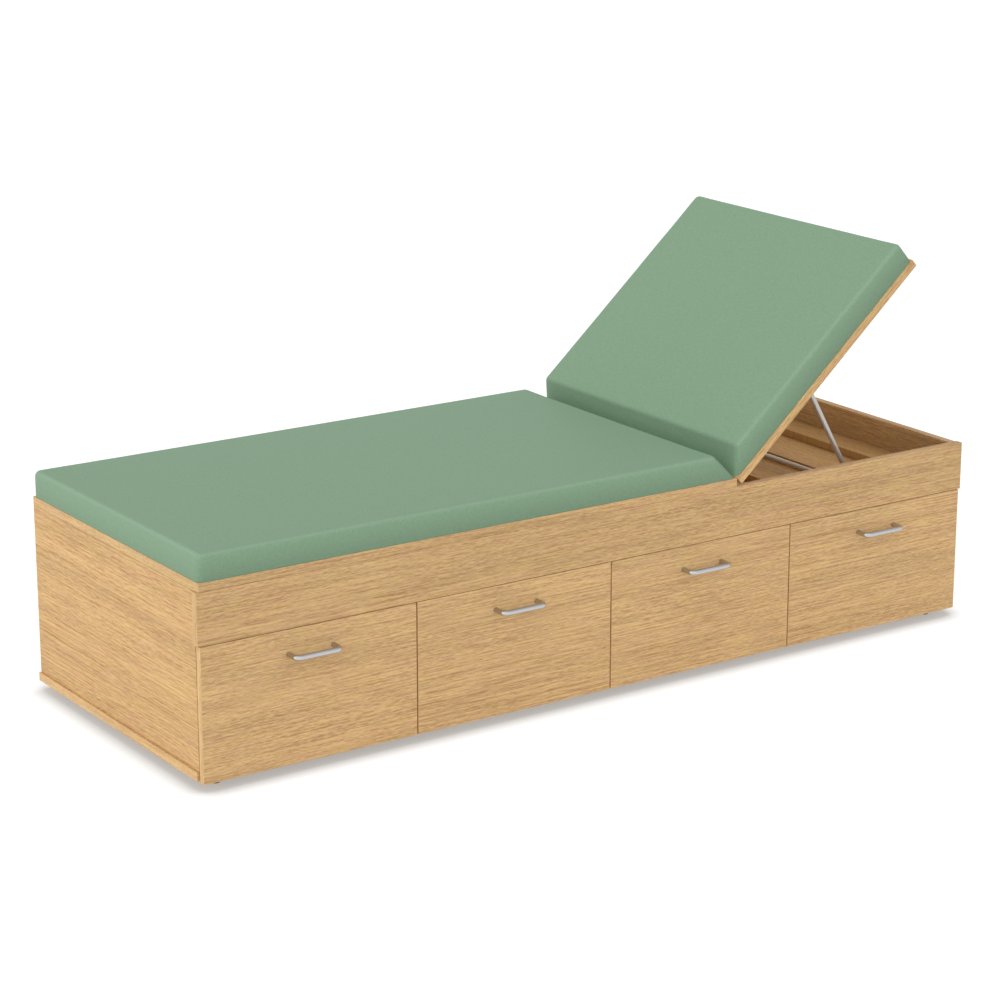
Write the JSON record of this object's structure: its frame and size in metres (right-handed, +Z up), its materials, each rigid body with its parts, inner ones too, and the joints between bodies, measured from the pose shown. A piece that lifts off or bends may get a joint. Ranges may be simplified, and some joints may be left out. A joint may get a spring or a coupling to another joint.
{
  "type": "sick bay bed with adjustable backrest and drawers",
  "caption": "Low oak laminate box bed with a green vinyl mattress, a hinged backrest propped by a bent rod stay on a stepped block, and drawers along one side",
  "frame": {"origin": "on the floor under the middle of the whole bed, handles included", "axes": "+X from the foot end to the head end, +Y from the drawer side to the back, +Z up"},
  "size_m": [1.9, 0.736, 0.8607],
  "materials": {
    "oak": "oak laminate board, satin",
    "ply": "pale birch board, matt",
    "vinyl": "sage green coated vinyl over foam, fine grain",
    "handle_chrome": "satin chrome",
    "stay_steel": "bright drawn steel rod",
    "zinc_steel": "zinc plated sheet",
    "black_plastic": "moulded black glide"
  },
  "bodies": {
    "carcass": {"back_panel": "oak", "bottom_board": "oak", "case_slide_1_left": "zinc_steel", "case_slide_1_right": "zinc_steel", "case_slide_2_left": "zinc_steel", "case_slide_2_right": "zinc_steel", "case_slide_3_left": "zinc_steel", "case_slide_3_right": "zinc_steel", "case_slide_4_left": "zinc_steel", "case_slide_4_right": "zinc_steel", "compartment_divider": "oak", "compartment_floor": "oak", "deck_bearer": "oak", "deck_board": "oak", "foot_end_panel": "oak", "front_rail": "oak", "glide_foot_back": "black_plastic", "glide_foot_front": "black_plastic", "glide_head_back": "black_plastic", "glide_head_front": "black_plastic", "head_end_panel": "oak", "hinge_leaf_deck": "zinc_steel", "hinge_pin": "zinc_steel", "partition_1": "oak", "partition_2": "oak", "partition_3": "oak", "seat_cushion": "vinyl", "step_board_1": "oak", "step_board_2": "oak", "step_board_3": "oak"},
    "backrest": {"backrest_board": "oak", "backrest_cushion": "vinyl", "hinge_leaf_backrest": "zinc_steel", "stay_bracket_back": "zinc_steel", "stay_bracket_front": "zinc_steel"},
    "stay": {"stay_rod": "stay_steel"},
    "drawer_1": {"drawer_bottom_1": "ply", "drawer_box_1": "ply", "drawer_front_1": "oak", "drawer_handle_1": "handle_chrome", "drawer_slide_1_left": "zinc_steel", "drawer_slide_1_right": "zinc_steel"},
    "drawer_2": {"drawer_bottom_2": "ply", "drawer_box_2": "ply", "drawer_front_2": "oak", "drawer_handle_2": "handle_chrome", "drawer_slide_2_left": "zinc_steel", "drawer_slide_2_right": "zinc_steel"},
    "drawer_3": {"drawer_bottom_3": "ply", "drawer_box_3": "ply", "drawer_front_3": "oak", "drawer_handle_3": "handle_chrome", "drawer_slide_3_left": "zinc_steel", "drawer_slide_3_right": "zinc_steel"},
    "drawer_4": {"drawer_bottom_4": "ply", "drawer_box_4": "ply", "drawer_front_4": "oak", "drawer_handle_4": "handle_chrome", "drawer_slide_4_left": "zinc_steel", "drawer_slide_4_right": "zinc_steel"}
  },
  "joints": [
    {"name": "backrest_tilt", "type": "hinge", "parent": "carcass", "child": "backrest", "pos_m": [0.323, 0.018, 0.4123], "axis": [0, -1, 0], "range_deg": [-41.5, 8]},
    {"name": "stay_swing", "type": "hinge", "parent": "backrest", "child": "stay", "pos_m": [0.55334, 0.018, 0.57603], "axis": [0, -1, 0], "range_deg": [-20, 104]},
    {"name": "drawer_1_slide", "type": "slide", "parent": "carcass", "child": "drawer_1", "axis": [0, -1, 0], "range_m": [0, 0.43]},
    {"name": "drawer_2_slide", "type": "slide", "parent": "carcass", "child": "drawer_2", "axis": [0, -1, 0], "range_m": [0, 0.43]},
    {"name": "drawer_3_slide", "type": "slide", "parent": "carcass", "child": "drawer_3", "axis": [0, -1, 0], "range_m": [0, 0.43]},
    {"name": "drawer_4_slide", "type": "slide", "parent": "carcass", "child": "drawer_4", "axis": [0, -1, 0], "range_m": [0, 0.43]}
  ],
  "couplings": [
    {"joint": "stay_swing", "follows": "backrest_tilt", "ratio": -2.48}
  ]
}
